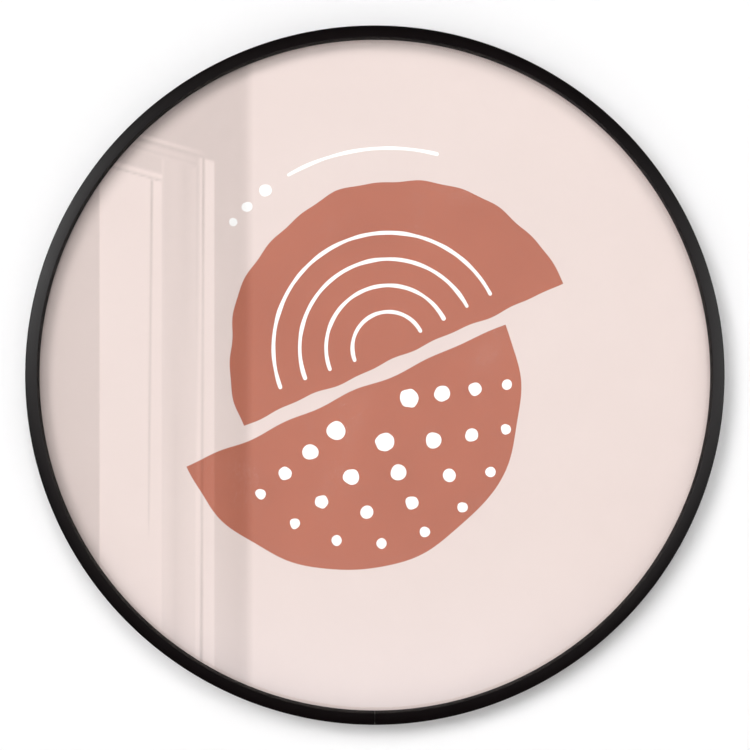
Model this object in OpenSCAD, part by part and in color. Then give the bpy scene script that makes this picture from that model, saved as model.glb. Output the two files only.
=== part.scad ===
// Round picture frame of rolled metal section, with a clear pane, a print, a clipped back board and a hanger.
// The wall is the plane y = 0, the face looks along -Y and the origin is where the nail meets the wall.

/* [Ring] */
// Outside diameter of the ring
ring_d = 500; // [300:10:800]
// Depth of the ring, from the wall to its face
ring_depth = 25; // [22:0.5:40]
// Width of the face, seen from the front
face_w = 8.5; // [8:0.5:20]
// Thickness of the face
face_t = 1.5; // [1:0.1:2.2]
// Thickness of the outer wall
wall_t = 1.5; // [1.2:0.1:2]
// Thickness of the nose wall round the window
nose_t = 1.2; // [0.8:0.1:1.8]
// Depth of the nose, from the face to the seat of the pane
nose_depth = 12; // [8:0.1:14]
// Thickness of the web between the chamber and the pane
web_t = 1.2; // [0.8:0.1:1.4]
// Radius of the outer front edge
edge_r = 1.2; // [0.3:0.1:1.4]
// Radius of the front edge at the window
sight_r = 0.3; // [0.1:0.1:0.6]
// Width of the rib that the clips lock behind
rib_w = 2.2; // [1.6:0.1:3]
// Thickness of that rib
rib_t = 1.2; // [0.8:0.1:1.6]
// How far the lip at the rear edge stands in from the wall
rear_lip_w = 1.2; // [0.4:0.1:1.6]
// Thickness of the rear lip
rear_lip_t = 1.2; // [0.8:0.1:1.6]
// Gap of the butt seam at the bottom
seam_gap = 0.15; // [0.05:0.05:0.3]

/* [Splice] */
// Length of the splice bar along the chamber
splice_len = 70; // [50:1:120]
// Thickness of the splice bar, behind the face
splice_t = 4; // [3:0.1:4.4]
// Play between the bar and the chamber's walls, and past the screws' ends
splice_play = 0.2; // [0.1:0.05:0.3]
// Diameter of the grub screws
grub_d = 3; // [2.5:0.1:3.6]
// Diameter of the holes in the web that the key goes through
key_hole_d = 1.9; // [1.7:0.1:2.2]
// Width of the key's hexagon across its corners
key_d = 1.6; // [1.4:0.1:1.8]
// Distance of the inner screws from the seam
grub_first = 10; // [6:0.5:12]
// Distance of the outer screws from the bar's ends
grub_end = 9; // [5:0.5:9]

/* [Pack] */
// Thickness of the clear pane
glazing_t = 1.5; // [1:0.1:2.5]
// Gap between the pane and the print
print_gap = 0.1; // [0.05:0.05:0.3]
// Thickness of the printed sheet
print_t = 0.3; // [0.1:0.05:0.6]
// Thickness of the card behind the print
card_t = 1; // [0.5:0.1:2.5]
// Thickness of the back board
board_t = 2.5; // [2:0.1:4]
// Gap all round between the pack and the rib
pack_play = 0.5; // [0.2:0.1:1]

/* [Clips] */
// Number of turn clips
clip_count = 8; // [4:1:12]
// Thickness of a clip
clip_t = 1; // [0.6:0.1:1.2]
// Width of a clip at its rivet
clip_w = 10; // [8:0.5:12]
// Width of the nose's end
clip_nose_w = 6; // [4:0.5:8]
// Width of the thumb tail
clip_tail_w = 8; // [6:0.5:9.5]
// Distance from the rivet to the nose's end
clip_nose_len = 12; // [11:0.5:20]
// Gap between the nose's end and the ring's wall
clip_end_play = 0.5; // [0.3:0.1:0.8]
// Gap between the turning tail and the rib
clip_tail_play = 0.5; // [0.3:0.1:1]
// Height of the thumb lip at the tail
clip_lip_h = 3; // [2:0.1:4]
// Bend radius inside the thumb lip
clip_bend_r = 0.8; // [0.4:0.1:1]
// Gap between a clip and the board
clip_play = 0.1; // [0.05:0.05:0.2]
// Gap between a clip and the rib
rib_play = 0.2; // [0.1:0.05:0.4]

/* [Rivets] */
// Diameter of a rivet's shank
rivet_d = 3; // [2.5:0.1:3.6]
// Diameter of a rivet's domed head
rivet_head_d = 6.4; // [5:0.1:7]
// Height of the domed head
rivet_head_h = 1.2; // [0.8:0.1:1.6]
// Height of the straight edge below the dome
rivet_rim_h = 0.35; // [0.2:0.05:0.6]
// Diameter of the clinched foot
rivet_foot_d = 5; // [4.4:0.1:6]
// Height of the clinched foot
rivet_foot_h = 0.8; // [0.5:0.1:1.2]
// Diameter of the hollow in the foot
rivet_bore_d = 1.8; // [1.2:0.1:2]
// Play round the shank and the foot
rivet_play = 0.05; // [0.02:0.01:0.1]

/* [Hanger] */
// Distance from the ring's outer edge down to the nail
nail_inset = 26; // [24:1:60]
// Diameter of the D-ring's wire
wire_d = 2.2; // [1.8:0.1:2.5]
// Play of the wire in the strap's loop
wire_play = 0.08; // [0.04:0.01:0.1]
// Bend radius of the D-ring's lower corners, at the wire's middle
dring_bend_r = 2.5; // [2:0.1:4]
// Straight length of the D-ring's legs
dring_leg = 1; // [0.5:0.1:6]
// Width of the strap
strap_w = 11; // [9:0.5:16]
// Gap beside the strap along the D-ring's bar
strap_side_play = 0.6; // [0.3:0.1:1.5]
// Thickness of the strap, which lies double
strap_t = 0.8; // [0.6:0.1:1]
// Distance from the bar to where the strap's layers meet
strap_pinch = 5; // [4:0.1:7]
// Distance from the bar to the upper rivet
strap_first = 17; // [16:0.5:24]
// Distance from the upper rivet to the lower one
strap_step = 14; // [8:0.5:30]
// Distance from the lower rivet to the strap's end
strap_end = 6.5; // [5.5:0.1:9]

/* [Hidden] */
$fn = 96;
over = 1;
arc_steps = 12;
clip_phase = 180 / clip_count;
seam_angle_at = -90;
socket_share = 0.4;
wedge_share = 0.9;
shoulder_from = 65;
shoulder_to = 115;

ring_r = ring_d / 2;
sight_radius = ring_r - face_w;
wall_radius = ring_r - wall_t;
rib_radius = wall_radius - rib_w;
lip_radius = wall_radius - rear_lip_w;
seat_z = ring_depth - nose_depth;
seam_turn = 360 * seam_gap / (2 * PI * ring_r);

chamber_r0 = sight_radius + nose_t;
chamber_w = wall_radius - chamber_r0;
chamber_z0 = seat_z + web_t;
chamber_h = nose_depth - web_t - face_t;
chamber_mid = chamber_r0 + chamber_w / 2;
splice_z = chamber_z0 + chamber_h - splice_t;
grub_len = chamber_h - splice_play;
grub_last = splice_len / 2 - grub_end;
grub_places = [-grub_last, -grub_first, grub_first, grub_last];

pack_radius = rib_radius - pack_play;
glazing_z = seat_z - glazing_t;
print_z = glazing_z - print_gap - print_t;
card_z = print_z - card_t;
board_z = card_z - board_t;

clip_rear = clip_play + clip_t;
rib_z = board_z - clip_rear - rib_play - rib_t;
clip_radius = wall_radius - clip_end_play - clip_nose_len;
clip_tail_len = rib_radius - clip_radius - clip_tail_play;
clip_tail_x = -sqrt(pow(clip_tail_len, 2) - pow(clip_tail_w / 2, 2));
shank_hole_d = rivet_d + 2 * rivet_play;

loop_bore_r = wire_d / 2 + wire_play;
loop_r = loop_bore_r + strap_t;
strap_top = 2 * strap_t;
strap_len = strap_first + strap_step + strap_end;
strap_bar = [0, loop_r];
strap_meet = [-strap_pinch, strap_top];
strap_slope = atan2(strap_meet[1] - strap_bar[1], strap_meet[0] - strap_bar[0]);
strap_leave = 360 + strap_slope - acos(loop_r / norm(strap_meet - strap_bar));
dring_half_w = strap_w / 2 + strap_side_play + dring_bend_r;
dring_arch_at = dring_bend_r + dring_leg;
dring_inner_h = dring_arch_at + dring_half_w - wire_d / 2;
hang_drop = ring_r - nail_inset;
loop_radius = hang_drop - dring_inner_h;

clip_names = [for (i = [1:clip_count]) str("turn_clip_", i)];

function polar(r, a) = [r * cos(a), r * sin(a)];

function arc(r, from, to, at = [0, 0]) =
    [for (i = [0:arc_steps]) at + polar(r, from + (to - from) * i / arc_steps)];

function clip_angle(i) = 90 - clip_phase - (i - 1) * 360 / clip_count;

// Everything is drawn lying on its back, with z as the height above the wall, and then hung on the nail
module hang() {
    translate([0, 0, -hang_drop]) rotate([90, 0, 0]) children();
}

// A place on the rear of the board: x points away from the ring's centre and z away from the board
module on_board(angle, radius) {
    rotate([0, 0, angle]) translate([radius, 0, board_z]) rotate([180, 0, 0]) children();
}

module disc(radius, thickness, z) {
    translate([0, 0, z]) cylinder(r = radius, h = thickness);
}

// The waste outside a rounded corner, whose round has its centre at the origin
module corner_waste(r) {
    difference() {
        square(r + over);
        circle(r = r);
    }
}

// The extruded section: an L of face and wall, a nose and web that close a chamber, a rib and a rear lip
module ring_section() {
    difference() {
        translate([sight_radius, 0]) square([face_w, ring_depth]);
        translate([sight_radius - over, -over]) square([wall_radius - sight_radius + over, seat_z + over]);
        translate([chamber_r0, chamber_z0]) square([chamber_w, chamber_h]);
        translate([ring_r - edge_r, ring_depth - edge_r]) corner_waste(edge_r);
        translate([sight_radius + sight_r, ring_depth - sight_r]) mirror([1, 0]) corner_waste(sight_r);
    }
    translate([rib_radius, rib_z]) square([ring_r - rib_radius, rib_t]);
    translate([lip_radius, 0]) square([ring_r - lip_radius, rear_lip_t]);
}

// A place along the splice, measured along the chamber's middle from the seam
module along_splice(place) {
    angle = seam_angle_at + place / chamber_mid * 180 / PI;
    rotate([0, 0, angle]) translate([chamber_mid, 0, chamber_z0]) children();
}

// The section rolled to a circle that stops short of itself by the seam, with four key holes in the web
module frame_ring() {
    color([0.10, 0.10, 0.11]) hang() difference() {
        rotate([0, 0, seam_angle_at + seam_turn / 2]) rotate_extrude(angle = 360 - seam_turn) ring_section();
        for (place = grub_places) {
            along_splice(place) translate([0, 0, -web_t - over])
                cylinder(d = key_hole_d, h = web_t + 2 * over);
        }
    }
}

// A curved bar in the chamber across the seam, pressed against the inside of the face
module splice_bar() {
    turn = splice_len / chamber_mid * 180 / PI;
    color([0.62, 0.63, 0.65]) hang() difference() {
        rotate([0, 0, seam_angle_at - turn / 2]) rotate_extrude(angle = turn)
            translate([chamber_r0 + splice_play, splice_z]) square([chamber_w - 2 * splice_play, splice_t]);
        for (place = grub_places) {
            along_splice(place) cylinder(d = grub_d + 2 * rivet_play, h = chamber_h + over);
        }
    }
}

// Grub screws in the bar that push against the web, each with a hexagon socket for the key
module splice_screws() {
    socket_h = grub_len * socket_share;
    color([0.25, 0.25, 0.27]) hang() for (place = grub_places) {
        along_splice(place) difference() {
            cylinder(d = grub_d, h = grub_len);
            translate([0, 0, -over]) cylinder(d = key_d, h = over + socket_h, $fn = 6);
        }
    }
}

module glazing() {
    color([0.85, 0.92, 0.93], 0.3) hang() disc(pack_radius, glazing_t, glazing_z);
}

module art_print() {
    color([0.95, 0.88, 0.86]) hang() disc(pack_radius, print_t, print_z);
}

module backing_card() {
    color([0.88, 0.87, 0.84]) hang() disc(pack_radius, card_t, card_z);
}

// A hole for a rivet: the shank's bore, and a sink in the front for the clinched foot
module rivet_hole() {
    translate([0, 0, -board_t - over]) cylinder(d = shank_hole_d, h = board_t + 2 * over);
    translate([0, 0, -board_t - over]) cylinder(d = rivet_foot_d + 2 * rivet_play, h = rivet_foot_h + over);
}

module at_clip_rivets() {
    for (i = [1:clip_count]) {
        on_board(clip_angle(i), clip_radius) children();
    }
}

module at_hanger_rivets() {
    for (step = [0, strap_step]) {
        on_board(90, loop_radius - strap_first - step) children();
    }
}

module back_board() {
    color([0.50, 0.36, 0.24]) hang() difference() {
        disc(pack_radius, board_t, board_z);
        at_clip_rivets() rivet_hole();
        at_hanger_rivets() rivet_hole();
    }
}

// A rivet with its head at a height above the board, its foot clinched in the sink and left hollow
module rivet(head_at) {
    foot_at = -board_t;
    shank_at = foot_at + rivet_foot_h;
    dome_h = rivet_head_h - rivet_rim_h;
    dome_r = (pow(rivet_head_d / 2, 2) + pow(dome_h, 2)) / (2 * dome_h);
    difference() {
        union() {
            translate([0, 0, foot_at]) cylinder(d = rivet_foot_d, h = rivet_foot_h);
            translate([0, 0, shank_at]) cylinder(d = rivet_d, h = head_at - shank_at);
            intersection() {
                translate([0, 0, head_at]) cylinder(d = rivet_head_d, h = rivet_head_h);
                translate([0, 0, head_at + rivet_head_h - dome_r]) sphere(r = dome_r);
            }
        }
        translate([0, 0, foot_at - over]) cylinder(d = rivet_bore_d, h = over + board_t / 2);
    }
}

module clip_rivets() {
    color([0.70, 0.70, 0.72]) hang() at_clip_rivets() rivet(clip_rear + clip_play);
}

// Plan of a clip about its rivet: a nose that ends on an arc, round shoulders and a straight tail
module clip_plan() {
    nose_turn = asin(clip_nose_w / 2 / clip_nose_len);
    tail_y = clip_tail_w / 2;
    polygon(concat(
        arc(clip_nose_len, -nose_turn, nose_turn),
        arc(clip_w / 2, shoulder_from, shoulder_to),
        [[clip_tail_x - over, tail_y], [clip_tail_x - over, -tail_y]],
        arc(clip_w / 2, -shoulder_to, -shoulder_from)
    ));
}

// Side of a clip: a strip that turns up through a bend into the thumb lip at its tail
module clip_side() {
    bend = [clip_tail_x + clip_t + clip_bend_r, clip_rear + clip_bend_r];
    lip_top = clip_rear + clip_lip_h;
    polygon(concat(
        [[clip_nose_len + over, clip_play], [clip_nose_len + over, clip_rear]],
        arc(clip_bend_r, 270, 180, bend),
        [[clip_tail_x + clip_t, lip_top], [clip_tail_x, lip_top]],
        arc(clip_bend_r + clip_t, 180, 270, bend)
    ));
}

// One turn clip at its place round the board
module turn_clip(i) {
    color([0.74, 0.74, 0.76]) hang() on_board(clip_angle(i), clip_radius) difference() {
        intersection() {
            linear_extrude(clip_rear + clip_lip_h + over) clip_plan();
            translate([0, clip_w, 0]) rotate([90, 0, 0]) linear_extrude(2 * clip_w) clip_side();
        }
        cylinder(d = shank_hole_d, h = clip_rear + over);
    }
}

// Side of the folded strap: flat on the board, round the bar, and down on to its own back
module strap_side() {
    polygon(concat(
        [[-strap_len, strap_top], [-strap_len, 0]],
        arc(loop_r, -90, strap_leave, strap_bar),
        [strap_meet]
    ));
}

// The bore for the bar, with the narrow space that the fold leaves beside it
module strap_bore() {
    fold = [loop_bore_r * (1 + sin(strap_leave)) / cos(strap_leave), strap_t];
    wedge_r = loop_bore_r * wedge_share;
    length = strap_w + 2 * over;
    translate([0, length / 2, 0]) rotate([90, 0, 0]) {
        translate(strap_bar) cylinder(r = loop_bore_r, h = length);
        linear_extrude(length)
            polygon([strap_bar + polar(wedge_r, -90), fold, strap_bar + polar(wedge_r, strap_leave)]);
    }
}

// Plan of the strap: square at the fold, round at the lower end
module strap_plan() {
    end_x = -strap_len + strap_w / 2;
    polygon(concat(
        [[loop_r + over, -strap_w / 2], [loop_r + over, strap_w / 2]],
        arc(strap_w / 2, 90, 270, [end_x, 0])
    ));
}

module hanger_strap() {
    color([0.72, 0.72, 0.74]) hang() on_board(90, loop_radius) difference() {
        intersection() {
            translate([0, strap_w, 0]) rotate([90, 0, 0]) linear_extrude(2 * strap_w) strap_side();
            linear_extrude(2 * loop_r + over) strap_plan();
        }
        strap_bore();
        for (step = [0, strap_step]) {
            translate([-strap_first - step, 0, -over]) cylinder(d = shank_hole_d, h = strap_top + 2 * over);
        }
    }
}

module hanger_rivets() {
    color([0.70, 0.70, 0.72]) hang() at_hanger_rivets() rivet(strap_top);
}

// A length of the D-ring's wire bent through an arc about a centre
module wire_bend(r, from, to, at) {
    translate(at) rotate([0, 0, from]) rotate_extrude(angle = to - from) translate([r, 0]) circle(d = wire_d);
}

// The D-ring, standing up from its bar as it hangs on the nail
module hanger_ring() {
    corner_y = dring_half_w - dring_bend_r;
    color([0.74, 0.74, 0.76]) hang() on_board(90, loop_radius) translate([0, 0, loop_r]) {
        translate([0, corner_y, 0]) rotate([90, 0, 0]) cylinder(d = wire_d, h = 2 * corner_y);
        wire_bend(dring_bend_r, 90, 180, [dring_bend_r, corner_y, 0]);
        wire_bend(dring_bend_r, 180, 270, [dring_bend_r, -corner_y, 0]);
        for (side = [-1, 1]) {
            translate([dring_bend_r, side * dring_half_w, 0]) rotate([0, 90, 0])
                cylinder(d = wire_d, h = dring_leg);
        }
        wire_bend(dring_half_w, -90, 90, [dring_arch_at, 0, 0]);
    }
}

frame_ring();
splice_bar();
splice_screws();
glazing();
art_print();
backing_card();
back_board();
for (i = [1:clip_count]) turn_clip(i);
clip_rivets();
hanger_strap();
hanger_rivets();
hanger_ring();
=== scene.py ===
# %% [markdown]
# # A round picture frame on a white wall
# A ring of black rolled metal holds a clear pane and a print in front of a clipped back board. The packed
# model already has every real size in metres, so the lesson measures from it and dresses what it finds.

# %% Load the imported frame
import math

import bmesh
import bpy
import numpy as np
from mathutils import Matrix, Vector
from mathutils.geometry import delaunay_2d_cdt, tessellate_polygon


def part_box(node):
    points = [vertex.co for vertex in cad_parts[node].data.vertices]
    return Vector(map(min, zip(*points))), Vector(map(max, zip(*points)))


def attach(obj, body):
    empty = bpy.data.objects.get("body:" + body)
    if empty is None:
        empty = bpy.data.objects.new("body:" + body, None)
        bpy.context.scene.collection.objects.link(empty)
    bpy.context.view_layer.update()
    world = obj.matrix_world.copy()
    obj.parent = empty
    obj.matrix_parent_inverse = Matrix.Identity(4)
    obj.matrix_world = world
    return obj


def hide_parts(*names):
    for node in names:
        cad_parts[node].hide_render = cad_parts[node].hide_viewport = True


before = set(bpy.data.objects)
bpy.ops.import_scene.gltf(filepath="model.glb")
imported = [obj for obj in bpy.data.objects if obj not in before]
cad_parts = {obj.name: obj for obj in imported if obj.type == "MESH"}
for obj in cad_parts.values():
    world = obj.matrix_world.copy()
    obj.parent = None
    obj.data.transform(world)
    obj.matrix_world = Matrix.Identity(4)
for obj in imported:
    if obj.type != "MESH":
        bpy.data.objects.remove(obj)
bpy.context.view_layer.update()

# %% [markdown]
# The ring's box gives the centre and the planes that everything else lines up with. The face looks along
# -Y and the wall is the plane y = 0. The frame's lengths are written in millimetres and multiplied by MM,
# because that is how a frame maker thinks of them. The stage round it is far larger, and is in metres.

MM = 0.001
outer_r = 250.0
ring_low, ring_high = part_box("frame_ring")
centre = Vector((0, 0, ring_low.z + outer_r * MM))
face_y = ring_low.y
print("ring", round(ring_high.x - ring_low.x, 5), "wide, centre", centre, "face at", round(face_y, 5))

# %% [markdown]
# ## The camera
# The photograph is taken square on. How near it was taken from shows in the nose wall, the deep inner
# edge of the ring: a near camera sees more of it than a far one. A long lens from 1.4 m gives the width
# that the photograph has. The ring's centre stands a hair off the picture's.

# %% Set up the camera
def add_object(name, data, at=(0, 0, 0)):
    thing = bpy.data.objects.new(name, data)
    thing.location = at
    bpy.context.scene.collection.objects.link(thing)
    return thing


view_distance, off_centre = 1418 * MM, 0.1 * MM
camera_y = face_y - view_distance
camera_data = bpy.data.cameras.new("camera")
camera_data.sensor_width = 36
camera_data.lens = 95.3
camera = add_object("camera", camera_data, centre + Vector((off_centre, camera_y, off_centre)))
camera.rotation_euler = (math.radians(90), 0, 0)
bpy.context.scene.camera = camera
bpy.context.scene.view_settings.view_transform = "Standard"
print("camera", round(view_distance, 3), "m in front of the ring's face")

# %% [markdown]
# ## Small helpers for meshes and nodes
# A mesh object is made from points and faces many times below, and a shader is a chain of nodes whose
# sockets are either set or linked. `wire` makes a node and takes a number, a colour or another node's
# socket for each input. The kinds of node that come back most often get a short name of their own.

# %% Helpers for meshes and materials
def mesh_object(name, points, faces, at=(0, 0, 0)):
    mesh = bpy.data.meshes.new(name)
    mesh.from_pydata([tuple(p) for p in points], [], [tuple(f) for f in faces])
    return add_object(name, mesh, at)


def new_material(name):
    material = bpy.data.materials.new(name)
    material.use_nodes = True
    material.node_tree.nodes.clear()
    return material, material.node_tree


def wire(tree, kind, inputs=None, **settings):
    made = tree.nodes.new(kind)
    for key, value in settings.items():
        setattr(made, key, value)
    for key, value in (inputs or {}).items():
        if isinstance(value, bpy.types.NodeSocket):
            tree.links.new(value, made.inputs[key])
        else:
            made.inputs[key].default_value = value
    return made


def show_surface(tree, shader):
    wire(tree, "ShaderNodeOutputMaterial", {"Surface": shader})


# %% [markdown]
# Each of the next helpers makes one kind of node, and all but the last hand back the socket that comes out
# of it. A Mix node has its two colours at inputs 6 and 7 and its result at output 2. A noise node's values
# lie mostly between 0.3 and 0.7, so that is the span that `remap` usually stretches to another one.

# %% Helpers for single nodes
NOISE_SPAN = (0.3, 0.7)


def calculate(tree, operation, *values):
    return wire(tree, "ShaderNodeMath", dict(enumerate(values)), operation=operation).outputs[0]


def remap(tree, value, span, to_span):
    return wire(tree, "ShaderNodeMapRange", dict(enumerate((value, *span, *to_span)))).outputs[0]


def noise(tree, at, scale, detail, **more):
    inputs = {"Vector": at, "Scale": scale, "Detail": detail, **more}
    return wire(tree, "ShaderNodeTexNoise", inputs).outputs["Fac"]


def mix_colours(tree, share, first, second):
    return wire(tree, "ShaderNodeMix", {0: share, 6: first, 7: second}, data_type="RGBA").outputs[2]


def mix_shaders(tree, share, first, second):
    return wire(tree, "ShaderNodeMixShader", {0: share, 1: first, 2: second}).outputs[0]


def object_place(tree):
    return wire(tree, "ShaderNodeTexCoord").outputs["Object"]


def bumped(tree, height, strength, distance):
    inputs = {"Height": height, "Strength": strength, "Distance": distance}
    return wire(tree, "ShaderNodeBump", inputs).outputs[0]


def show_principled(tree, inputs):
    show_surface(tree, wire(tree, "ShaderNodeBsdfPrincipled", inputs).outputs[0])


# %% [markdown]
# ## The wall and the floor
# The wall is only a backdrop that has to catch the ring's shadow. It throws no light back, hides nothing
# from the lamps behind it, and is clear from the rear, so that the frame can be seen from behind. Mirrors
# see it nearly black round the ring, as they would a studio's black flag, because the ring's outer edge
# is dark in the photograph. The round of wall that the frame covers is a piece by itself, which no mirror
# sees, so it doesn't darken the zinc on the back. The floor lies far below, and is clear from beneath.

# %% Build the wall and the floor
def show_only_to(thing, *rays):
    for ray in ("camera", "diffuse", "glossy", "transmission", "volume_scatter", "shadow"):
        setattr(thing, "visible_" + ray, ray in rays)


def annulus(name, inner, outer, at, spokes=96):
    points = [(r * math.cos(2 * math.pi * k / spokes), 0, r * math.sin(2 * math.pi * k / spokes))
              for r in (inner, outer) for k in range(spokes)]
    faces = [(k, spokes + k, spokes + (k + 1) % spokes, (k + 1) % spokes) for k in range(spokes)]
    return mesh_object(name, points, faces, at)


covered_r, hole_r = 249 * MM, 1 * MM
reach, floor_z = 9, -1.6
wall_at = centre + Vector((0, 0.6 * MM, 0))
wall = annulus("wall", covered_r, reach, wall_at)
hidden_wall = annulus("wall_behind_frame", hole_r, covered_r, wall_at)
corners = [(-reach, -reach, 0), (reach, -reach, 0), (reach, reach, 0), (-reach, reach, 0)]
floor = mesh_object("floor", corners, [(0, 1, 2, 3)], (0, 0, floor_z))
show_only_to(wall, "camera", "glossy")
show_only_to(hidden_wall, "camera")
floor.visible_glossy = False
print("wall and floor reach", reach, "m each way")

# %% [markdown]
# Both paints are clear on the back of a face. The wall's colour depends on whether a mirror looks at it,
# and the floor is lifted towards plain white for the camera.

# %% Paint them
def show_on_front(tree, shader):
    clear = wire(tree, "ShaderNodeBsdfTransparent").outputs[0]
    behind = wire(tree, "ShaderNodeNewGeometry").outputs["Backfacing"]
    show_surface(tree, mix_shaders(tree, behind, shader, clear))


plaster_white, flag_black = (0.96, 0.955, 0.96, 1), (0.1, 0.1, 0.1, 1)
wall_paint, tree = new_material("wall_paint")
mirrored = wire(tree, "ShaderNodeLightPath").outputs["Is Glossy Ray"]
colour = mix_colours(tree, mirrored, plaster_white, flag_black)
show_on_front(tree, wire(tree, "ShaderNodeBsdfDiffuse", {"Color": colour}).outputs[0])

floor_lift = 0.75
floor_paint, tree = new_material("floor_paint")
seen = wire(tree, "ShaderNodeLightPath").outputs["Is Camera Ray"]
matt = wire(tree, "ShaderNodeBsdfDiffuse", {"Color": (0.85, 0.84, 0.83, 1)}).outputs[0]
pale = wire(tree, "ShaderNodeEmission", {"Color": (1, 0.99, 0.98, 1)}).outputs[0]
show_on_front(tree, mix_shaders(tree, calculate(tree, "MULTIPLY", seen, floor_lift), matt, pale))
for piece, paint in ((wall, wall_paint), (hidden_wall, wall_paint), (floor, floor_paint)):
    piece.data.materials.append(paint)

# %% [markdown]
# ## The lamps
# The shadows in the photograph tell where the light is: a very wide soft light, and three smaller lamps
# that stand round the upper left. A shadow's length gives a lamp's slope and its softness the width. Suns
# are used because a sun lights the whole width evenly. A front lamp shines straight on, and fills the
# shadow inside the ring. Two more suns light the back, which the photograph doesn't show.

# %% Place the suns
def sun(name, azimuth, slope, spread, level, front=True):
    """azimuth turns from the right, as the camera sees it. slope and spread are tangents: of the lamp's
    lean from the wall's normal, and of half its width. level is the light that it throws on the wall."""
    across, up = slope * math.cos(math.radians(azimuth)), slope * math.sin(math.radians(azimuth))
    towards = Vector((across, -1 if front else 1, up)).normalized()
    lamp = bpy.data.lights.new(name, "SUN")
    lamp.angle = 2 * math.atan(spread)
    lamp.energy = level * math.pi / abs(towards.y)
    thing = add_object(name, lamp)
    thing.rotation_euler = towards.to_track_quat("Z", "Y").to_euler()
    thing.visible_glossy = False


sun("soft_light", 124, 0.11, 1.09, 0.345)
sun("lamp", 140, 0.633, 0.204, 0.285)
sun("left_lamp", 195, 0.567, 0.183, 0.19)
sun("top_lamp", 79, 0.564, 0.197, 0.21)
sun("front_lamp", 90, 0, 0, 0.2)
sun("rear_soft_light", 90, 0.1, 0.9, 0.5, front=False)
sun("rear_lamp", 120, 0.6, 0.35, 0.4, front=False)
print(len(bpy.data.lights), "suns")

# %% [markdown]
# The world is white to the camera and to mirrors, as the background of the photograph is. For the soft
# light that falls on matt surfaces it is dim, because the suns already give that.

# %% Fill the world
soft_level, white_level = 0.03, 1.0
world = bpy.data.worlds.new("studio")
world.use_nodes = True
bpy.context.scene.world = world
tree = world.node_tree
tree.nodes.clear()
path = wire(tree, "ShaderNodeLightPath")
seen = path.outputs["Is Camera Ray"]
for ray in ("Is Glossy Ray", "Is Transmission Ray"):
    seen = calculate(tree, "MAXIMUM", seen, path.outputs[ray])
soft_sky, white_sky = (
    wire(tree, "ShaderNodeBackground", {"Color": (1, 1, 1, 1), "Strength": level}).outputs[0]
    for level in (soft_level, white_level))
wire(tree, "ShaderNodeOutputWorld", {"Surface": mix_shaders(tree, seen, soft_sky, white_sky)})

# %% [markdown]
# ## What the metal and the pane mirror
# Black metal shows little but what it mirrors. In the photograph the ring is light at the left and the
# right and black at the bottom, so the room in front is light at its sides and dark above and below. The
# pane mirrors a panelled door. Both are painted on cards that only mirrors see, just behind the camera.
# What the camera sees at a place on the face's plane lies a little further out on the pane, and further
# still on the card that the pane mirrors.

# %% Where the cards stand
card_y = camera_y - 12 * MM
pane_front, print_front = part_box("glazing")[0].y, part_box("art_print")[0].y
to_pane, to_print = ((y - camera_y) / view_distance for y in (pane_front, print_front))
to_card = to_pane * (1 + (pane_front - card_y) / (pane_front - camera_y))
print("a millimetre on the face is", round(to_pane, 4), "on the pane and", round(to_card, 4), "on the card")

# %% [markdown]
# Each point of a card carries two values. A level `sheen` is for rough metal and has two soft windows. A
# colour `mirror` is for the smooth pane, which mirrors a plain room, and towards its lower edge the
# room's pale floor.

# %% The levels on the cards
windows = [(160, 19, 2.75), (6, 19.5, 1.6)]
plain_mirror = 0.7
floor_from, floor_to, floor_growth = -110, -240, 1.5
floor_glow = (0.40, 0.55, 0.75, 0)


def sheen_at(across, up):
    """Each window is given by where it stands round the ring, its spread and its level."""
    azimuth = np.degrees(np.arctan2(up, across))
    glow = np.zeros_like(azimuth)
    for middle, spread, level in windows:
        off = (azimuth - middle + 180) % 360 - 180
        glow += level * np.exp(-(off / spread) ** 2)
    return glow


def mirror_at(up, level):
    """Colours for heights on the face, with the floor's cool light growing towards the lower edge."""
    rise = np.clip((floor_from - up) / (floor_from - floor_to), 0, 1)
    return np.outer(level, np.ones(4)) + np.outer(rise ** floor_growth, floor_glow)


# %% [markdown]
# Light Path tells the two kinds of mirror apart, because a ray off the smooth pane is a singular one. The
# material reads both values from the card's points and gives off the one that is asked for.

# %% The cards' glow
card_glow, tree = new_material("card_glow")
singular = wire(tree, "ShaderNodeLightPath").outputs["Is Singular Ray"]
sheen = wire(tree, "ShaderNodeAttribute", attribute_name="sheen").outputs["Fac"]
mirror = wire(tree, "ShaderNodeAttribute", attribute_name="mirror").outputs["Color"]
glow = {"Color": mix_colours(tree, singular, sheen, mirror), "Strength": 1}
show_surface(tree, wire(tree, "ShaderNodeEmission", glow).outputs[0])


def glow_card(name, points, faces, sheen, mirror, at):
    card = mesh_object(name, points, faces, at)
    levels = card.data.attributes.new("sheen", "FLOAT", "POINT")
    levels.data.foreach_set("value", sheen.astype(np.float32))
    colours = card.data.attributes.new("mirror", "FLOAT_COLOR", "POINT")
    colours.data.foreach_set("color", mirror.astype(np.float32).ravel())
    show_only_to(card, "glossy")
    card.data.materials.append(card_glow)
    print(name, "has", len(points), "points")


# %% [markdown]
# The large card is a bowl of rings and spokes, with its rim folded back past the wall, so that the ring's
# rounded outer edge mirrors it too. A second bowl stands behind the wall for the zinc on the back.

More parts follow.
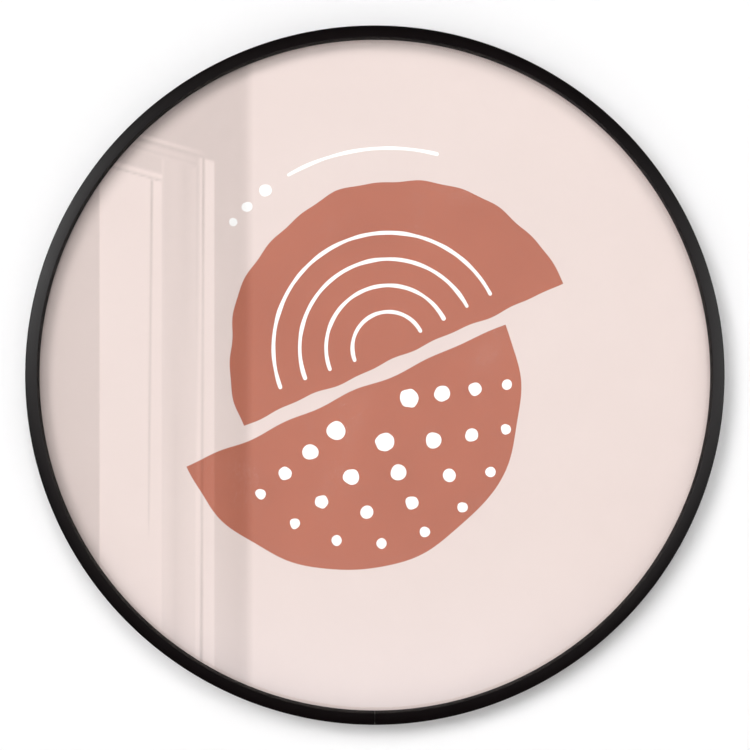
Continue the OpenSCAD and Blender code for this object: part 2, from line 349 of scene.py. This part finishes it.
# %% The large cards
spokes = 144
radii = [0.02, 0.1, 0.2, 0.25, 0.3, 0.35, 0.4, 0.45, 0.5, 0.6, 0.8, 1.0, 1.3, 1.7, 2.2, 2.8, 3.1, 3.1]
depths = [0] * 15 + [0.2, 0.7, 1.44]
rim_fade = [1] * 14 + [0.9, 0.7, 0.4, 0.1]
turns = np.arange(spokes) * 2 * np.pi / spokes
spread_x, spread_z = np.outer(radii, np.cos(turns)).ravel(), np.outer(radii, np.sin(turns)).ravel()
bowl_y, bowl_fade = np.repeat(depths, spokes), np.repeat(rim_fade, spokes)
quads = [(k + i, k + (i + 1) % spokes, k + spokes + (i + 1) % spokes, k + spokes + i)
         for k in range(0, (len(radii) - 1) * spokes, spokes) for i in range(spokes)]
quads.append(tuple(range(spokes)))

room = mirror_at(spread_z / (to_card * MM), np.full(len(spread_x), plain_mirror))
glow_card("front_card", np.column_stack([spread_x, bowl_y, spread_z]), quads,
          sheen_at(spread_x, spread_z) * bowl_fade, room, (centre.x, card_y, centre.z))

rear_card_y, rear_level, rear_swing, rear_lit_from = 1.5, 0.75, 0.45, 115
rear_tone = rear_level + rear_swing * np.cos(turns - math.radians(rear_lit_from))
glow_card("rear_card", np.column_stack([spread_x, -bowl_y, spread_z]), quads,
          np.tile(rear_tone, len(radii)) * bowl_fade, np.ones((len(spread_x), 4)),
          (centre.x, rear_card_y, centre.z))

# %% [markdown]
# ## The door in the pane
# The door is painted as tones along its width, once for its upper and once for its lower part. Above that
# come lines that run down to the right, because the door stands at a slant to the pane. All places are
# millimetres from the ring's centre, as the camera sees them on the plane of the ring's face. A tone of 1
# is the plain wall and 0 the darkest part of the door. Between two places the tone runs evenly. Two narrow
# grooves lean a little and fade downwards.

# %% The door's tones
column_at = [-260, -197.2, -196.2, -152.8, -151.6, -149.7, -142.5, -135.4, -128.2, -126.8, -125.4, -124, -121,
             -115.3, -114, -104, -97, -92.5, -90, -86.5]
upper_tone = [0.1, 0.1, 1, 1, 0.55, 0.35, 0.4, 0.2, 0.4, 0.15, 0.4, 0.9, 0.95, 1, 0, 0, 0, 0.2, 0.55, 1]
lower_tone = [0.1, 0.1, 1, 1, 0.7, 0.7, 0.4, 0.6, 0.75, 0.9, 1.1, 1, 0.9, 1, 0.35, 0.15, 0.05, 0.2, 0.55, 1]
lower_from, upper_from = -75, 135

moulding_at = [-400, 112, 113, 115, 117.5, 119.5, 120.7, 121.4, 122.2, 123.5, 124.5, 126.2, 400]
moulding_tone = [0.3, 0.3, 0.5, 0.1, 0.45, 0.25, 0, -0.3, 0, 0.65, 0.65, 0, 0]
edge_at = [-400, 94.8, 95.9, 97, 98.2, 99.8, 101.4, 400]
edge_tone = [1, 1, 0.2, 0.6, 1.05, 1.05, 0.3, 0.3]
panel_left, panel_right, panel_top = -196.7, -152, 95

grooves = [(-159.3, [-118, -97, -75, 50, 110], [0, 0.5, 0.55, 0.8, 1.1]),
           (-122.5, [-161, -118, -75, 75, 110], [1.35, 1, 0.7, 0.8, 1.35])]
lean_at = [-163, -162, -156, -155, -129, -128, -117, -116]
lean_by = [0, 0.01, 0.01, 0, 0, 0.0045, 0.0045, 0]
fading_at, fading_by = [-197.2, -196.2, -160, -140, -127, -118], [0, 1, 1, 0.8, 0.45, 0]
start_at, start_height = [-128, -126], [112, 120.5]
fall, top_of_lean = 0.28, 135

# %% [markdown]
# A place takes its tone from the columns, and the grooves are cut into that. The slanted upper edge of the
# light panel and the mouldings above it are laid over the result, each from its own height on.

# %% Work out the tone at a place
def step_at(values, edge, width=1.5):
    return np.clip((values - edge) / width + 0.5, 0, 1)


def groove(values, at, half_width=1.5):
    return np.clip(1 - np.abs(values - at) / half_width, 0, 1)


def door_tone(across, up):
    slanted = up + fall * across
    leant = across + np.interp(across, lean_at, lean_by) * (top_of_lean - up)
    lower = np.interp(up, [lower_from, upper_from], [1, 0])
    tone = np.interp(leant, column_at, upper_tone) * (1 - lower)
    tone += np.interp(leant, column_at, lower_tone) * lower
    for at, heights, amounts in grooves:
        tone -= groove(leant, at) * np.interp(up, heights, amounts)

    panel = step_at(-across, -panel_right, 1) * step_at(across, panel_left)
    tone += (np.interp(slanted, edge_at, edge_tone) - tone) * step_at(slanted, panel_top) * panel

    lined = np.interp(slanted, moulding_at, moulding_tone) * np.interp(across, fading_at, fading_by)
    above = lined + np.interp(across, column_at[-4:], upper_tone[-4:])
    return tone + (above - tone) * step_at(slanted, np.interp(across, start_at, start_height))


# %% [markdown]
# The tones are worked out on a grid of points that are finer across than up, as the door's lines are. The
# first use is the mirrored door itself, on a card of its own in front of the large one.

# %% Hang the mirrored door
door_x, door_z = np.arange(-260, -85, 0.75), np.arange(-252, 252.5, 1.5)
across, up = (a.ravel() for a in np.meshgrid(door_x, door_z))
tone, columns, rows = door_tone(across, up), len(door_x), len(door_z)
door_quads = [(r * columns + c, r * columns + c + 1, (r + 1) * columns + c + 1, (r + 1) * columns + c)
              for r in range(rows - 1) for c in range(columns - 1)]
door_points = np.column_stack([across * MM, np.zeros_like(across), up * MM])
door_mirror = mirror_at(up, plain_mirror * (0.5 + 0.5 * tone))
glow_card("door_mirrored", door_points * to_card, door_quads, sheen_at(across, up), door_mirror,
          (centre.x, card_y + 2 * MM, centre.z))

# %% [markdown]
# The mirrored door is faint, and the door's dark bands darken the ink as well as the paper, which a
# mirror image alone wouldn't do. So these bands are painted shade as well: a clear film with the same tones
# hangs close in front of the print and dims it for the camera. It is part of the stage, as the light it
# stands for is, and no lamp is stopped by it.

# %% Hang the film of painted shade
film_reach, film_gap = 245.5, 0.04 * MM
film_depth, deepest = 0.168, -0.5
within = np.hypot(across, up) * to_print < film_reach
film_quads = [quad for quad in door_quads if within[list(quad)].all()]
film = mesh_object("painted_door_shade_film", door_points * to_print, film_quads,
                   (centre.x, print_front - film_gap, centre.z))
film.data.attributes.new("tone", "FLOAT", "POINT").data.foreach_set("value", tone.astype(np.float32))
# Painted shade: this film darkens the print in the door's mirrored bands, for the camera only.
painted_door_shade, tree = new_material("painted_door_shade")
dimmed = wire(tree, "ShaderNodeAttribute", attribute_name="tone").outputs["Fac"]
dimmed = remap(tree, dimmed, (deepest, 1), (1 - film_depth * (1 - deepest), 1))
show_surface(tree, wire(tree, "ShaderNodeBsdfTransparent", {"Color": dimmed}).outputs[0])
film.data.materials.append(painted_door_shade)
show_only_to(film, "camera")
print("film of", len(film_quads), "faces")

# %% [markdown]
# A far black mask with a round hole keeps the front lamp off the wall. It casts a shadow and is otherwise
# unseen.

# %% Mask the front lamp
mask_hole_r, mask_reach, mask_y = 246 * MM, 900 * MM, -30
mask = annulus("lamp_mask", mask_hole_r, mask_reach, (centre.x, mask_y, centre.z))
mask_black, tree = new_material("mask_black")
show_surface(tree, wire(tree, "ShaderNodeBsdfDiffuse", {"Color": (0, 0, 0, 1)}).outputs[0])
mask.data.materials.append(mask_black)
show_only_to(mask, "shadow")

# %% [markdown]
# ## The ring
# The ring is one aluminium section, rolled to a circle and butted at the bottom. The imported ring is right
# in size but coarse where it curves, so it is turned again here as a lathe would: the section's outline,
# with every corner rounded, is carried round in small steps. The chamber inside the section is a second
# outline, and both are capped at the hairline seam.

# %% Round an outline's corners
def rounded(corners, steps=4):
    """An outline from corners given as (radius, height, corner radius), in millimetres."""
    outline = []
    for k, (r, z, round_by) in enumerate(corners):
        here = np.array([r, z])
        before = np.array(corners[k - 1][:2]) - here
        after = np.array(corners[(k + 1) % len(corners)][:2]) - here
        before, after = before / np.linalg.norm(before), after / np.linalg.norm(after)
        if round_by == 0:
            outline.append(here)
            continue
        half = math.acos(float(np.clip(before @ after, -1, 1))) / 2
        inset = round_by / math.tan(half)
        middle = here + (before + after) / np.linalg.norm(before + after) * round_by / math.sin(half)
        start, end = here + before * inset - middle, here + after * inset - middle
        sweep = math.pi - 2 * half
        for i in range(steps + 1):
            share = i / steps
            outline.append(middle + (start * math.sin((1 - share) * sweep) + end * math.sin(share * sweep))
                           / math.sin(sweep))
    return [Vector(p) for p in outline]


# %% [markdown]
# Heights count from the wall to the face. The nose is the inner wall that the pane rests against, and its
# end is the seat. On the outer wall stand the rib that the clips lock behind and the small lip at the
# rear. The outer front edge is softly rounded, the inner one is crisp.

# %% Draw the section
depth, nose_depth, face_w = 25.0, 12.0, 8.5
face_t, wall_t, nose_t, web_t = 1.5, 1.5, 1.2, 1.2
rib_w, rib_t, rib_low, lip_w, lip_t = 2.2, 1.2, 5.1, 1.2, 1.2
soft_edge, crisp_edge, small_edge = 1.2, 0.3, 0.2

sight_r, wall_in, seat = outer_r - face_w, outer_r - wall_t, depth - nose_depth
rib_in, rib_top, lip_in = wall_in - rib_w, rib_low + rib_t, wall_in - lip_w
section = rounded([
    (sight_r, depth, crisp_edge), (outer_r, depth, soft_edge), (outer_r, 0, crisp_edge),
    (lip_in, 0, small_edge), (lip_in, lip_t, small_edge), (wall_in, lip_t, 0),
    (wall_in, rib_low, 0), (rib_in, rib_low, small_edge), (rib_in, rib_top, small_edge),
    (wall_in, rib_top, 0), (wall_in, seat, 0), (sight_r, seat, small_edge),
])
chamber_in, chamber_low, chamber_top = sight_r + nose_t, seat + web_t, depth - face_t
chamber = rounded([(chamber_in, chamber_low, 0), (wall_in, chamber_low, 0),
                   (wall_in, chamber_top, 0), (chamber_in, chamber_top, 0)])
print("section of", len(section), "points and a chamber of", len(chamber))

# %% [markdown]
# `turned` carries outlines round the ring's axis, from one side of the seam to the other, and caps both
# ends. The object stands at the ring's centre, so that its own coordinates, which the finish uses, count
# from the middle of the ring.

# %% Turn the ring
def place(r, z, turn):
    return (r * MM * math.cos(turn), -z * MM, r * MM * math.sin(turn))


def turned(name, outlines, steps, seam):
    points, faces, first_ids, last_ids = [], [], [], []
    start, span = -math.pi / 2 + seam / 2, 2 * math.pi - seam
    for outline in outlines:
        n, count = len(outline), len(points)
        for s in range(steps + 1):
            points += [place(p.x, p.y, start + span * s / steps) for p in outline]
        for s in range(steps):
            a, b = count + s * n, count + (s + 1) * n
            faces += [(a + k, b + k, b + (k + 1) % n, a + (k + 1) % n) for k in range(n)]
        first_ids += range(count, count + n)
        last_ids += range(count + steps * n, count + (steps + 1) * n)
    cap = tessellate_polygon([[p.to_3d() for p in outline] for outline in outlines])
    for ids in (first_ids, last_ids):
        faces += [tuple(ids[k] for k in tri) for tri in cap]
    return mesh_object(name, points, faces, centre)


def tidy_normals(thing, sharp=35):
    work = bmesh.new()
    work.from_mesh(thing.data)
    bmesh.ops.recalc_face_normals(work, faces=work.faces)
    work.to_mesh(thing.data)
    work.free()
    thing.data.shade_smooth()
    thing.data.set_sharp_from_angle(angle=math.radians(sharp))


ring_steps, seam_width = 720, 0.08
ring = turned("ring", [section, chamber], ring_steps, seam_width / outer_r)
tidy_normals(ring)
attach(ring, "frame")
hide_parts("frame_ring")
print("ring of", len(ring.data.polygons), "faces")

# %% [markdown]
# ## Black anodised aluminium
# The metal is brushed round its length and dyed black. Brushing smears each highlight across the brush
# lines, and that is what the Principled shader's anisotropy does once a Tangent node tells it that the
# lines run round Y. The lines themselves are noise that is drawn out round the ring: fine across it, long
# along it.

# %% The ring's finish
line_density, line_stretch = 2600, 2.2
anodised, tree = new_material("black_anodised")
here = object_place(tree)
parts = wire(tree, "ShaderNodeSeparateXYZ", {0: here})
flat = wire(tree, "ShaderNodeCombineXYZ", {0: parts.outputs[0], 2: parts.outputs[2]}).outputs[0]
away = wire(tree, "ShaderNodeVectorMath", {0: flat}, operation="LENGTH").outputs["Value"]
round_it = wire(tree, "ShaderNodeVectorMath", {0: flat}, operation="NORMALIZE").outputs[0]
drawn = wire(tree, "ShaderNodeVectorMath", {0: round_it, 3: line_stretch}, operation="SCALE").outputs[0]
fine = calculate(tree, "MULTIPLY", away, line_density)
deep = calculate(tree, "MULTIPLY", parts.outputs[1], line_density)
lines_at = wire(tree, "ShaderNodeCombineXYZ", {0: fine, 1: deep}).outputs[0]
brush_at = wire(tree, "ShaderNodeVectorMath", {0: drawn, 1: lines_at}, operation="ADD").outputs[0]
brush = noise(tree, brush_at, 1, 3, Roughness=0.6)
cloud = noise(tree, here, 45, 2)
rough = calculate(tree, "ADD", remap(tree, brush, NOISE_SPAN, (0.28, 0.36)),
                  remap(tree, cloud, (0.35, 0.65), (-0.015, 0.02)))
show_principled(tree, {
    "Base Color": mix_colours(tree, cloud, (0.0020, 0.0008, 0.0010, 1), (0.0030, 0.0014, 0.0016, 1)),
    "Roughness": rough, "IOR": 1.5, "Anisotropic": 0.85, "Anisotropic Rotation": 0.25,
    "Tangent": wire(tree, "ShaderNodeTangent", direction_type="RADIAL", axis="Y").outputs[0],
    "Normal": bumped(tree, brush, 0.12, 0.05 * MM)})

# %% [markdown]
# The faces that look inwards are left plain and matt: the nose wall, and whatever else looks inwards from
# more than five millimetres behind the face.

# %% The inward faces' finish
plain_black, tree = new_material("plain_anodised")
rough = remap(tree, noise(tree, object_place(tree), 300, 2), NOISE_SPAN, (0.62, 0.72))
show_principled(tree, {"Base Color": (0.003, 0.003, 0.0032, 1), "Roughness": rough,
                       "Specular IOR Level": 0.1})
for finish in (anodised, plain_black):
    ring.data.materials.append(finish)

upright, plain_behind = 0.3, -20 * MM
for face in ring.data.polygons:
    inward = face.center.x * face.normal.x + face.center.z * face.normal.z < 0
    plain = inward and (abs(face.normal.y) < upright or face.center.y > plain_behind)
    face.material_index = 1 if plain else 0

# %% [markdown]
# ## The pane
# Clear acrylic, 1.5 mm thick. A glass shader would bend the light and stop the lamps, so the pane is a
# clear shader with a little mirror mixed in. How much is Schlick's rule: four parts in a hundred square
# on, rising steeply at a slant, from Layer Weight's Facing, which is the same on both faces.

# %% The pane's finish
def dress(node, material):
    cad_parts[node].data.materials.clear()
    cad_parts[node].data.materials.append(material)


square_on = 0.04
acrylic, tree = new_material("clear_acrylic")
slant = wire(tree, "ShaderNodeLayerWeight", {"Blend": 0.5}).outputs["Facing"]
shine = calculate(tree, "MULTIPLY_ADD", calculate(tree, "POWER", slant, 5), 1 - square_on, square_on)
through = wire(tree, "ShaderNodeBsdfTransparent", {"Color": (1, 1, 1, 1)}).outputs[0]
gloss = wire(tree, "ShaderNodeBsdfGlossy", {"Color": (1, 1, 1, 1), "Roughness": 0}).outputs[0]
show_surface(tree, mix_shaders(tree, shine, through, gloss))
dress("glazing", acrylic)

# %% [markdown]
# ## The print
# The sheet is one disc whose front is cut into the printed shapes, as a stencil cutter would, so each ink
# is a set of faces with its own material and the edges stay crisp at any size. The design is a plain one
# made for this lesson: a disc cut in two and slipped along the cut, with arcs and dots in white. Outlines
# are drawn with a slight waver, like a shape cut by hand.

# %% Draw by hand
draw = np.random.default_rng(7)


def wavy(length, amplitude, shortest):
    """A smooth random waver along a path: sines of random phase, none shorter than `shortest`."""
    waves = [(draw.uniform(shortest, 4 * shortest), draw.uniform(0, 2 * math.pi)) for _ in range(5)]
    return amplitude / 2 * sum(np.sin(2 * np.pi * length / size + phase) for size, phase in waves)


def wavered(outline, amplitude, shortest):
    path = np.array(outline)
    ahead, behind = np.roll(path, -1, 0), np.roll(path, 1, 0)
    along = ahead - behind
    sideways = np.column_stack([along[:, 1], -along[:, 0]]) / np.linalg.norm(along, axis=1)[:, None]
    length = np.cumsum(np.linalg.norm(path - behind, axis=1))
    fade = np.minimum(1, np.minimum(length - length[0], length[-1] - length) / shortest)
    return path + sideways * (wavy(length, amplitude, shortest) * fade)[:, None]


def arc_points(middle, radius, start, end, step=1.6):
    count = max(int(abs(math.radians(end - start)) * radius / step), 8)
    turn = np.radians(np.linspace(start, end, count + 1))
    return np.column_stack([middle[0] + radius * np.cos(turn), middle[1] + radius * np.sin(turn)])


def stroke(path, width):
    """A brush line of nearly even width with round ends."""
    along = np.gradient(path, axis=0)
    along /= np.linalg.norm(along, axis=1)[:, None]
    sideways = np.column_stack([-along[:, 1], along[:, 0]])
    length = np.cumsum(np.linalg.norm(np.gradient(path, axis=0), axis=1))
    half = width / 2 * (1 + wavy(length, 0.09, 14))
    left, right = path + sideways * half[:, None], path - sideways * half[:, None]
    ends = []
    for middle, first, radius in ((path[-1], left[-1], half[-1]), (path[0], right[0], half[0])):
        angle = math.degrees(math.atan2(*(first - middle)[::-1]))
        ends.append(arc_points(middle, radius, angle, angle - 180, 0.5)[1:-1])
    return np.vstack([left, ends[0], right[::-1], ends[1]])


def dot(middle, size):
    circle = arc_points(middle, size / 2, 0, 360, step=0.7)[:-1]
    return wavered(circle, amplitude=0.25, shortest=6)


# %% [markdown]
# The two halves of the disc are drawn first, then the arcs on the upper half with a broken halo round
# them, and the rows of dots on the lower half. All angles count from the cut.

# %% The design
cut_angle, slip, gap, disc_r = 24, 25, 5.0, 126.0
cut_along = np.array([math.cos(math.radians(cut_angle)), math.sin(math.radians(cut_angle))])
cut_across = np.array([-cut_along[1], cut_along[0]])
terracotta_shapes, white_shapes = [], []
for which in (1, -1):
    middle = cut_along * slip * which + cut_across * gap * which
    start = cut_angle if which > 0 else cut_angle + 180
    rim = arc_points(middle, disc_r, start, start + 180)
    chord = np.linspace(rim[-1], rim[0], 160)[1:-1]
    terracotta_shapes.append(wavered(np.vstack([rim, chord]), amplitude=0.9, shortest=30))

arcs_at = cut_along * (slip - 8) + cut_across * (gap + 9)
for radius in (26, 45, 64, 83):
    white_shapes.append(stroke(arc_points(arcs_at, radius, cut_angle + 4, cut_angle + 176), width=2.7))
halo_r = 144
white_shapes.append(stroke(arc_points(arcs_at, halo_r, cut_angle + 52, cut_angle + 96), width=2.5))
for turn, size in ((104, 9), (111, 7.5), (117, 6)):
    white_shapes.append(dot(arc_points(arcs_at, halo_r, cut_angle + turn, cut_angle + turn + 1)[0], size))

dots_at = -cut_along * (slip - 12) - cut_across * (gap + 12)
for radius, count, size in ((30, 3, 13.5), (54, 5, 11.5), (78, 7, 9.5), (101, 9, 7.5)):
    for turn in np.linspace(cut_angle + 196, cut_angle + 344, count):
        white_shapes.append(dot(dots_at + arc_points((0, 0), radius, turn, turn + 1)[0], size))
print(len(terracotta_shapes), "terracotta shapes and", len(white_shapes), "white ones")

# %% [markdown]
# A constrained triangulation cuts the disc along all the outlines at once, and says which outlines each
# triangle lies in, as long as they all run anticlockwise. White wins over terracotta, and what is left is
# paper.

# %% Cut the sheet
def anticlockwise(loop):
    ahead = np.roll(loop, -1, 0)
    turn = np.sum(loop[:, 0] * ahead[:, 1] - ahead[:, 0] * loop[:, 1])
    return loop if turn > 0 else loop[::-1]


sheet_r = 245.8
rim = arc_points((0, 0), sheet_r, 0, 360, 4)[:-1]
loops = [anticlockwise(loop) for loop in (rim, *terracotta_shapes, *white_shapes)]
flat_points = [Vector(p) for loop in loops for p in loop]
starts = np.cumsum([0] + [len(loop) for loop in loops])
loop_ids = [list(range(a, b)) for a, b in zip(starts[:-1], starts[1:])]
cut_points, _, front_faces, _, _, inside = delaunay_2d_cdt(flat_points, [], loop_ids, 1, 1e-5)
print("front of", len(front_faces), "triangles")

# %% [markdown]
# The rim's points come first, because its outline was given first. They are repeated at the sheet's back,
# and joined to the front by a band. Band and back keep the first material, which is bare paper.

# %% Give the sheet its thickness
paper_slot, terracotta_slot, white_slot = 0, 1, 2
sheet_low, sheet_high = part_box("art_print")
thickness, front_count, rim_count = sheet_high.y - sheet_low.y, len(cut_points), len(rim)
sheet_points = [(p.x * MM, 0, p.y * MM) for p in cut_points]
sheet_points += [(p.x * MM, thickness, p.y * MM) for p in cut_points[:rim_count]]
band = [(k, front_count + k, front_count + (k + 1) % rim_count, (k + 1) % rim_count)
        for k in range(rim_count)]
back = [front_count + k for k in reversed(range(rim_count))]
sheet = mesh_object("print_sheet", sheet_points, [*front_faces, *band, back],
                    (centre.x, sheet_low.y, centre.z))
white_from = 1 + len(terracotta_shapes)
for face, inside_loops in zip(sheet.data.polygons, inside):
    last = max(inside_loops)
    face.material_index = white_slot if last >= white_from else terracotta_slot if last > 0 else paper_slot
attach(sheet, "frame")
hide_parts("art_print")
print("print of", len(sheet.data.polygons), "faces")

# %% [markdown]
# Smooth art paper is nearly even: a faint cloudiness and a fine grain. The ink on it is a little mottled
# and has worn specks where the block printed dry, mostly in patches. All three finishes share the grain.

# %% Paper and inks
def printed(name, low, high, specks=None):
    material, tree = new_material(name)
    here = object_place(tree)
    amount = remap(tree, noise(tree, here, 14, 3, Roughness=0.55), NOISE_SPAN, (0, 1))
    tint = mix_colours(tree, amount, low, high)
    if specks:
        patch = remap(tree, noise(tree, here, 20, 2), (0.5, 0.72), (0, 0.12))
        bare = calculate(tree, "ADD", noise(tree, here, 1100, 2), patch)
        tint = mix_colours(tree, remap(tree, bare, (0.7, 0.78), (0, 0.55)), tint, specks)
    grain = bumped(tree, noise(tree, here, 2500, 2), 0.15, 0.03 * MM)
    show_principled(tree, {"Base Color": tint, "Roughness": 0.85, "Specular IOR Level": 0.2,
                           "Normal": grain})
    return material


bare_paper = (0.714, 0.607, 0.576, 1)
paper = printed("print_paper", (0.708, 0.601, 0.570, 1), (0.720, 0.613, 0.582, 1))
terracotta = printed("terracotta_ink", (0.410, 0.124, 0.073, 1), (0.448, 0.138, 0.081, 1), specks=bare_paper)
white = printed("white_ink", (0.93, 0.925, 0.915, 1), (0.955, 0.95, 0.94, 1))
for finish in (paper, terracotta, white):
    sheet.data.materials.append(finish)

# %% [markdown]
# ## Card and back board
# Behind the print lies a plain card, and behind that the hardboard that closes the frame. Hardboard is
# pressed wood fibre: brown, satin on its good side, with short dark fibres and a slow cloudiness.

# %% Their finishes
hardboard, tree = new_material("hardboard")
here = object_place(tree)
fibres = noise(tree, here, 420, 5, Roughness=0.65, Distortion=1.2)
flecks = noise(tree, here, 130, 2, Distortion=2.5)
base = mix_colours(tree, fibres, (0.085, 0.042, 0.02, 1), (0.26, 0.14, 0.07, 1))
base = mix_colours(tree, remap(tree, flecks, (0.62, 0.72), (0, 0.55)), base, (0.055, 0.027, 0.013, 1))
shade = remap(tree, noise(tree, here, 16, 4), NOISE_SPAN, (0.85, 1.15))
base = wire(tree, "ShaderNodeVectorMath", {0: base, 3: shade}, operation="SCALE").outputs[0]
show_principled(tree, {
    "Base Color": base, "Roughness": remap(tree, fibres, NOISE_SPAN, (0.42, 0.6)),
    "Normal": bumped(tree, fibres, 0.25, 0.06 * MM)})
dress("back_board", hardboard)

card, tree = new_material("backing_card")
fibres = noise(tree, object_place(tree), 300, 4)
show_principled(tree, {
    "Base Color": mix_colours(tree, fibres, (0.55, 0.52, 0.45, 1), (0.75, 0.73, 0.67, 1)),
    "Roughness": 0.9, "Normal": bumped(tree, fibres, 0.3, 0.05 * MM)})
dress("backing_card", card)

# %% [markdown]
# ## Steel, plated and plain
# The clips, rivets, strap and D-ring are mild steel with a bright zinc plating. Zinc is a little uneven:
# its gloss drifts, faint rolling lines run one way, and the clear coat over it tints it slightly blue and
# straw. The splice bar inside the ring is the same steel as it comes from the rolls, so it is darker. The
# grub screws that hold it are blackened.

# %% The steel finishes
def steel(name, tone, lines=(900, 60, 900)):
    material, tree = new_material(name)
    here = object_place(tree)
    drawn = wire(tree, "ShaderNodeVectorMath", {0: here, 1: lines}, operation="MULTIPLY").outputs[0]
    rolled = noise(tree, drawn, 1, 3)
    cool = tuple(tone * c for c in (0.97, 1.0, 1.05)) + (1,)
    warm = tuple(tone * c for c in (1.05, 1.02, 0.95)) + (1,)
    show_principled(tree, {
        "Base Color": mix_colours(tree, noise(tree, here, 180, 3), cool, warm), "Metallic": 1,
        "Roughness": remap(tree, rolled, NOISE_SPAN, (0.26, 0.4)),
        "Normal": bumped(tree, rolled, 0.2, 0.03 * MM)})
    return material


clip_count = 8
clip_zinc, rivet_zinc = steel("clip_zinc", 0.60), steel("rivet_zinc", 0.66)
for k in range(1, clip_count + 1):
    dress(f"turn_clip_{k}", clip_zinc)
for rivets in ("clip_rivets", "hanger_rivets"):
    dress(rivets, rivet_zinc)
dress("hanger_strap", steel("strap_zinc", 0.58))
dress("hanger_ring", steel("wire_zinc", 0.62, (200, 200, 200)))
dress("splice_bar", steel("rolled_steel", 0.4))

blacked, tree = new_material("black_oxide")
cloud = noise(tree, object_place(tree), 900, 2)
show_principled(tree, {"Base Color": mix_colours(tree, cloud, (0.02, 0.02, 0.022, 1), (0.05, 0.05, 0.055, 1)),
                       "Metallic": 1, "Roughness": 0.45})
dress("splice_screws", blacked)
